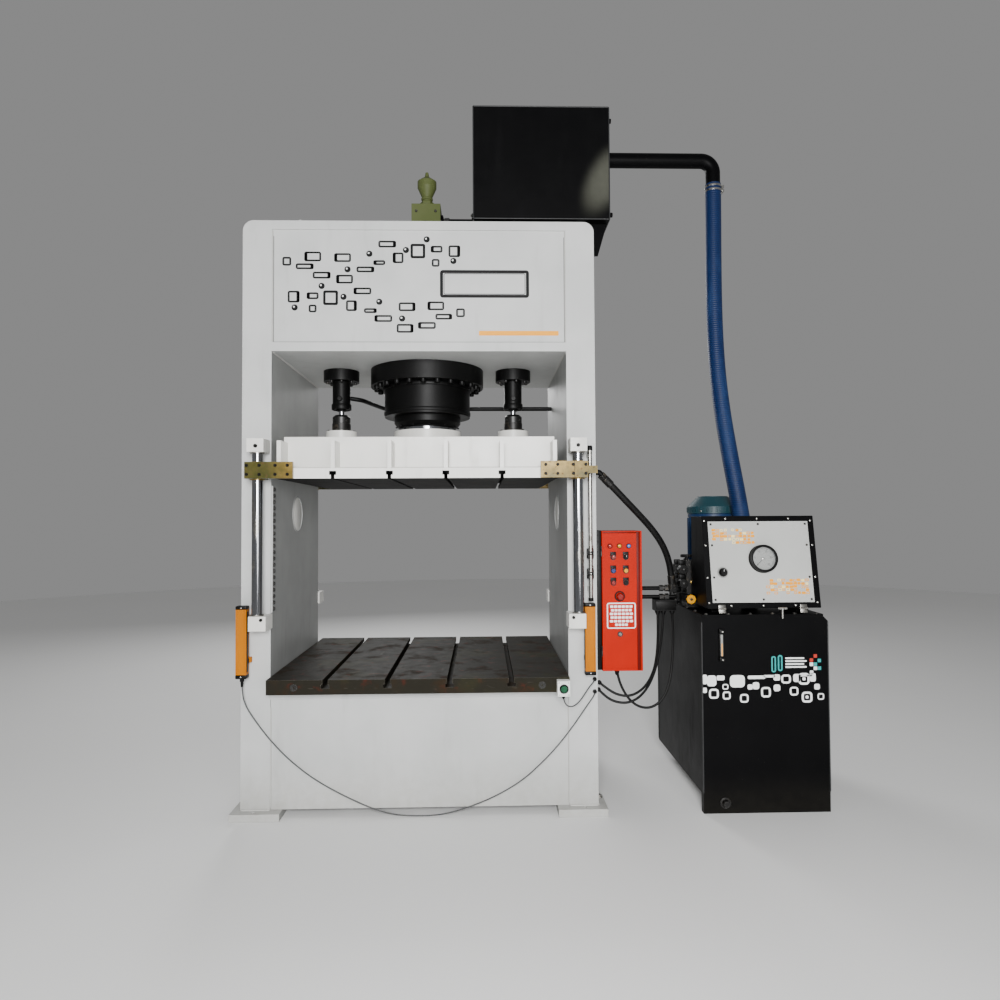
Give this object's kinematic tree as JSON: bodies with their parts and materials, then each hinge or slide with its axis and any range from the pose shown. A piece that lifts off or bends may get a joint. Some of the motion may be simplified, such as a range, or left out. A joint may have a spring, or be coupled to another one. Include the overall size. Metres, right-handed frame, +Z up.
{
  "type": "hydraulic press",
  "caption": "Frame hydraulic press with T-slotted bed, guided down-stroking platen, overhead oil tank, control cabinet and separate power pack with hoses.",
  "frame": {"origin": "on the floor, at the centre of the four anchor holes in the foot plates", "axes": "+X to the operator's right towards the power pack, -Y to the operator, +Z up along the press stroke"},
  "size_m": [3.262, 1.406, 4.077],
  "materials": {
    "frame_paint": "satin light grey machine enamel",
    "platen_paint": "satin off-white enamel",
    "bolster_iron": "machined cast iron, oiled, with light rust",
    "chrome": "polished hard chrome",
    "steel": "machined steel",
    "cylinder_black": "gloss black enamel",
    "tank_black": "satin black enamel",
    "valve_olive": "olive primer",
    "arm_passivated": "yellow passivated steel",
    "curtain_yellow": "satin orange yellow",
    "cabinet_red": "gloss red orange enamel",
    "box_white": "matt white",
    "button_green": "gloss green",
    "button_red": "gloss red",
    "button_blue": "gloss blue",
    "button_yellow": "gloss yellow",
    "button_black": "gloss black",
    "motor_blue": "satin blue enamel",
    "cowl_teal": "satin teal enamel",
    "console_grey": "light grey sheet",
    "hose_blue": "blue layflat hose",
    "hose_black": "black hydraulic hose",
    "cable_grey": "grey cable sheath",
    "bush_bronze": "bronze"
  },
  "bodies": {
    "frame": {"left_upright": "frame_paint", "right_upright": "frame_paint", "crown": "frame_paint", "bed": "frame_paint", "foot_plates": "frame_paint", "bolster": "bolster_iron", "button_box": "box_white", "cylinder_barrel": "cylinder_black", "cylinder_gland": "cylinder_black", "pullback_cylinders": "cylinder_black", "guide_rods": "chrome", "guide_rod_blocks": "platen_paint", "limit_rod": "steel", "light_curtains": "curtain_yellow", "overhead_tank": "tank_black", "tank_stand": "tank_black", "tank_pipe": "tank_black", "prefill_valve": "valve_olive", "hydraulic_pipes": "cylinder_black", "cabinet_box": "cabinet_red", "reservoir": "tank_black", "reservoir_lid": "tank_black", "motor_body": "motor_blue", "fan_cowl": "cowl_teal", "bell_housing": "motor_blue", "pump": "steel", "console_case": "tank_black", "console_panel": "console_grey", "pressure_gauge": "tank_black", "manifold": "cylinder_black", "solenoid_valves": "cylinder_black", "cable_terminals": "button_black", "suction_hose": "hose_blue", "pressure_hose": "hose_black", "loop_cable_a": "hose_black", "loop_cable_b": "hose_black", "cabinet_cable": "hose_black", "curtain_cable": "cable_grey", "button_cable": "cable_grey"},
    "platen": {"platen_box": "platen_paint", "platen_plate": "platen_paint", "ram": "chrome", "pullback_rods": "steel", "guide_arms": "arm_passivated"},
    "rotor": {"motor_rotor": "steel"},
    "door": {"cabinet_door": "cabinet_red"},
    "key": {"door_key": "steel"},
    "start_button": {"green_button": "button_green"},
    "selector_left": {"top_left_selector": "button_red"},
    "selector_right": {"top_right_selector": "button_black"},
    "blue_button": {"middle_left_button": "button_blue"},
    "yellow_button": {"middle_right_button": "button_yellow"},
    "red_button": {"bottom_left_button": "button_red"},
    "black_button": {"bottom_right_button": "button_black"},
    "stop_button": {"emergency_stop": "button_red"},
    "needle": {"gauge_needle": "button_black"},
    "knob": {"console_knob": "button_black"},
    "handwheel": {"relief_handwheel": "button_black"},
    "wheel": {"adjusting_wheel": "button_yellow"},
    "tee": {"tee_handle": "steel"}
  },
  "joints": [
    {"name": "platen_stroke", "type": "slide", "parent": "frame", "child": "platen", "axis": [0, 0, 1], "range_m": [-0.675, 0.015]},
    {"name": "motor_spin", "type": "hinge", "parent": "frame", "child": "rotor", "pos_m": [1.83, 0.06, 1.4], "axis": [0, 0, 1], "continuous": true},
    {"name": "cabinet_door_swing", "type": "hinge", "parent": "frame", "child": "door", "pos_m": [1.004, -0.549, 1.157], "axis": [0, 0, 1], "range_deg": [-100, 0]},
    {"name": "key_turn", "type": "hinge", "parent": "door", "child": "key", "pos_m": [1.1, -0.55, 0.974], "axis": [0, 1, 0], "range_deg": [0, 90]},
    {"name": "left_selector_turn", "type": "hinge", "parent": "door", "child": "selector_left", "pos_m": [1.065, -0.55, 1.398], "axis": [0, 1, 0], "range_deg": [-45, 45]},
    {"name": "right_selector_turn", "type": "hinge", "parent": "door", "child": "selector_right", "pos_m": [1.135, -0.55, 1.398], "axis": [0, 1, 0], "range_deg": [-45, 45]},
    {"name": "blue_button_press", "type": "slide", "parent": "door", "child": "blue_button", "axis": [0, 1, 0], "range_m": [0, 0.004], "stiffness_N_per_m": 600, "springref_m": -0.002},
    {"name": "yellow_button_press", "type": "slide", "parent": "door", "child": "yellow_button", "axis": [0, 1, 0], "range_m": [0, 0.004], "stiffness_N_per_m": 600, "springref_m": -0.002},
    {"name": "red_button_press", "type": "slide", "parent": "door", "child": "red_button", "axis": [0, 1, 0], "range_m": [0, 0.004], "stiffness_N_per_m": 600, "springref_m": -0.002},
    {"name": "black_button_press", "type": "slide", "parent": "door", "child": "black_button", "axis": [0, 1, 0], "range_m": [0, 0.004], "stiffness_N_per_m": 600, "springref_m": -0.002},
    {"name": "emergency_stop_press", "type": "slide", "parent": "door", "child": "stop_button", "axis": [0, 1, 0], "range_m": [0, 0.005], "stiffness_N_per_m": 600, "springref_m": -0.002},
    {"name": "start_button_press", "type": "slide", "parent": "frame", "child": "start_button", "axis": [0, 1, 0], "range_m": [0, 0.004], "stiffness_N_per_m": 600, "springref_m": -0.002},
    {"name": "gauge_needle_turn", "type": "hinge", "parent": "frame", "child": "needle", "pos_m": [1.912, -0.52804, 1.38187], "axis": [0, 0.987, -0.1609], "range_deg": [0, 270]},
    {"name": "console_knob_turn", "type": "hinge", "parent": "frame", "child": "knob", "pos_m": [1.683, -0.53501, 1.30803], "axis": [0, 0.987, -0.1609], "range_deg": [0, 90]},
    {"name": "relief_handwheel_turn", "type": "hinge", "parent": "frame", "child": "handwheel", "pos_m": [1.5815, -0.19, 1.37], "axis": [0, 0, 1], "range_deg": [-180, 180]},
    {"name": "adjusting_wheel_turn", "type": "hinge", "parent": "frame", "child": "wheel", "pos_m": [1.553, -0.36, 1.14], "axis": [0, 1, 0], "range_deg": [-135, 135]},
    {"name": "tee_handle_turn", "type": "hinge", "parent": "frame", "child": "tee", "pos_m": [1.987, -0.596, 1.1], "axis": [0, 0, 1], "range_deg": [-90, 90]}
  ]
}
